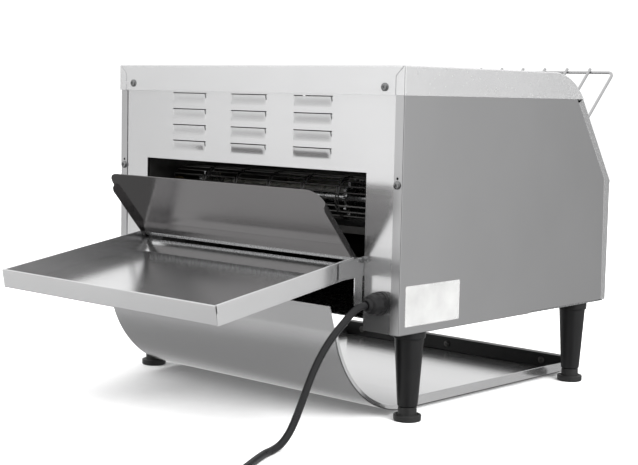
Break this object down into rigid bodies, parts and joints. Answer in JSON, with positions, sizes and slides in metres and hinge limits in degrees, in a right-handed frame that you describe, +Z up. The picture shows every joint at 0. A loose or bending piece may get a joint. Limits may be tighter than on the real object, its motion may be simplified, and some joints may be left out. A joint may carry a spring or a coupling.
{
  "type": "conveyor toaster",
  "caption": "Counter-top stainless conveyor toaster with chain belt, wire feed rack, hinged rear flap, rear tray, curved return chute, tapered black legs and mains cord.",
  "frame": {"origin": "bottom centre of the object without its cord, on the table under its feet", "axes": "+Z up; -Y is the front, where the feed rack and controls are; +Y is the rear, where the tray and cord are; +X is the operator's right"},
  "size_m": [0.6132, 0.9255, 0.3975],
  "materials": {
    "steel": "fine brushed, semi-mirror",
    "side_steel": "brushed, darker and more even",
    "mirror_steel": "bright rolled, near mirror",
    "dark_steel": "heat darkened",
    "chain_steel": "heat darkened, lightly oiled",
    "zinc": "zinc plated",
    "chromed_wire": "dull nickel plated wire",
    "bronze": "sintered",
    "heater_tube": "frosted quartz tube with white ceramic ends",
    "motor_paint": "satin black",
    "black_plastic": "moulded, matt",
    "cream_plastic": "moulded",
    "red_lens": "clear moulded lens",
    "black_rubber": "matt",
    "cord_rubber": "extruded, slightly glossy"
  },
  "bodies": {
    "root": {"base_pan": "zinc", "left_side_panel": "side_steel", "right_side_panel": "side_steel", "top_cover": "steel", "rear_panel": "steel", "front_panel": "steel", "left_inner_wall": "dark_steel", "right_inner_wall": "dark_steel", "upper_reflector": "dark_steel", "lower_reflector": "dark_steel", "upper_heater_1": "heater_tube", "upper_heater_2": "heater_tube", "lower_heater_1": "heater_tube", "lower_heater_2": "heater_tube", "conveyor_belt": "chain_steel", "front_bearing_left": "bronze", "front_bearing_right": "bronze", "rear_bearing_left": "bronze", "rear_bearing_right": "bronze", "drive_chain": "chain_steel", "gear_motor": "motor_paint", "fan_frame": "black_plastic", "terminal_block": "cream_plastic", "power_switch": "black_plastic", "pilot_lamp": "red_lens", "heat_selector": "cream_plastic", "speed_controller": "black_plastic", "left_tray_bracket": "steel", "right_tray_bracket": "steel", "flap_hinge_rod": "zinc", "leg_front_left": "black_plastic", "leg_front_right": "black_plastic", "leg_rear_left": "black_plastic", "leg_rear_right": "black_plastic", "cord_gland": "black_plastic", "power_cord": "cord_rubber", "cord_coil": "cord_rubber", "cord_tail": "cord_rubber", "power_plug": "cord_rubber"},
    "flap": {"deflector_flap": "mirror_steel"},
    "tray": {"rear_tray": "steel"},
    "chute": {"return_chute": "mirror_steel", "chute_stop_bar": "black_plastic"},
    "rack": {"feed_rack": "chromed_wire"},
    "front_roller": {"front_shaft": "zinc", "front_sprocket_left": "zinc", "front_sprocket_right": "zinc", "drive_sprocket": "zinc"},
    "rear_roller": {"rear_shaft": "zinc", "rear_sprocket_left": "zinc", "rear_sprocket_right": "zinc"},
    "motor_output": {"motor_pinion": "zinc"},
    "fan": {"fan_rotor": "black_plastic"},
    "speed_dial": {"speed_knob": "black_plastic"},
    "heat_dial": {"heat_knob": "black_plastic"},
    "rocker": {"power_rocker": "black_plastic"},
    "front_left_foot": {"foot_front_left": "black_rubber"},
    "front_right_foot": {"foot_front_right": "black_rubber"},
    "rear_left_foot": {"foot_rear_left": "black_rubber"},
    "rear_right_foot": {"foot_rear_right": "black_rubber"}
  },
  "joints": [
    {"name": "flap_hinge", "type": "hinge", "parent": "root", "child": "flap", "pos_m": [0, 0.1465, 0.178], "axis": [1, 0, 0], "range_deg": [-47, 38.5]},
    {"name": "tray_pull", "type": "slide", "parent": "root", "child": "tray", "axis": [0, 0.9871, -0.1599], "range_m": [0, 0.02]},
    {"name": "chute_pull", "type": "slide", "parent": "root", "child": "chute", "axis": [0, 1, 0], "range_m": [0, 0.09]},
    {"name": "rack_lift", "type": "slide", "parent": "root", "child": "rack", "axis": [0, -0.7026, 0.7115], "range_m": [0, 0.015]},
    {"name": "front_roller_turn", "type": "hinge", "parent": "root", "child": "front_roller", "pos_m": [0, -0.2027, 0.238], "axis": [1, 0, 0], "continuous": true},
    {"name": "rear_roller_turn", "type": "hinge", "parent": "root", "child": "rear_roller", "pos_m": [0, 0.0873, 0.238], "axis": [1, 0, 0], "continuous": true},
    {"name": "motor_turn", "type": "hinge", "parent": "root", "child": "motor_output", "pos_m": [0.2035, -0.1877, 0.145], "axis": [1, 0, 0], "continuous": true},
    {"name": "fan_spin", "type": "hinge", "parent": "root", "child": "fan", "pos_m": [-0.06, -0.1577, 0.114], "axis": [0, 0, 1], "continuous": true},
    {"name": "speed_knob_turn", "type": "hinge", "parent": "root", "child": "speed_dial", "pos_m": [0.13, -0.2717, 0.18], "axis": [0, 1, 0], "range_deg": [0, 270]},
    {"name": "heat_knob_turn", "type": "hinge", "parent": "root", "child": "heat_dial", "pos_m": [0.02, -0.2717, 0.18], "axis": [0, 1, 0], "range_deg": [0, 135]},
    {"name": "rocker_tilt", "type": "hinge", "parent": "root", "child": "rocker", "pos_m": [-0.13, -0.2687, 0.18], "axis": [1, 0, 0], "range_deg": [0, 20]},
    {"name": "front_left_foot_turn", "type": "hinge", "parent": "root", "child": "front_left_foot", "pos_m": [-0.213, -0.2257, 0], "axis": [0, 0, 1], "continuous": true},
    {"name": "front_right_foot_turn", "type": "hinge", "parent": "root", "child": "front_right_foot", "pos_m": [0.213, -0.2257, 0], "axis": [0, 0, 1], "continuous": true},
    {"name": "rear_left_foot_turn", "type": "hinge", "parent": "root", "child": "rear_left_foot", "pos_m": [-0.213, 0.1003, 0], "axis": [0, 0, 1], "continuous": true},
    {"name": "rear_right_foot_turn", "type": "hinge", "parent": "root", "child": "rear_right_foot", "pos_m": [0.213, 0.1003, 0], "axis": [0, 0, 1], "continuous": true}
  ],
  "couplings": [
    {"joint": "rear_roller_turn", "follows": "front_roller_turn", "ratio": 1},
    {"joint": "motor_turn", "follows": "front_roller_turn", "ratio": 1.3333}
  ]
}
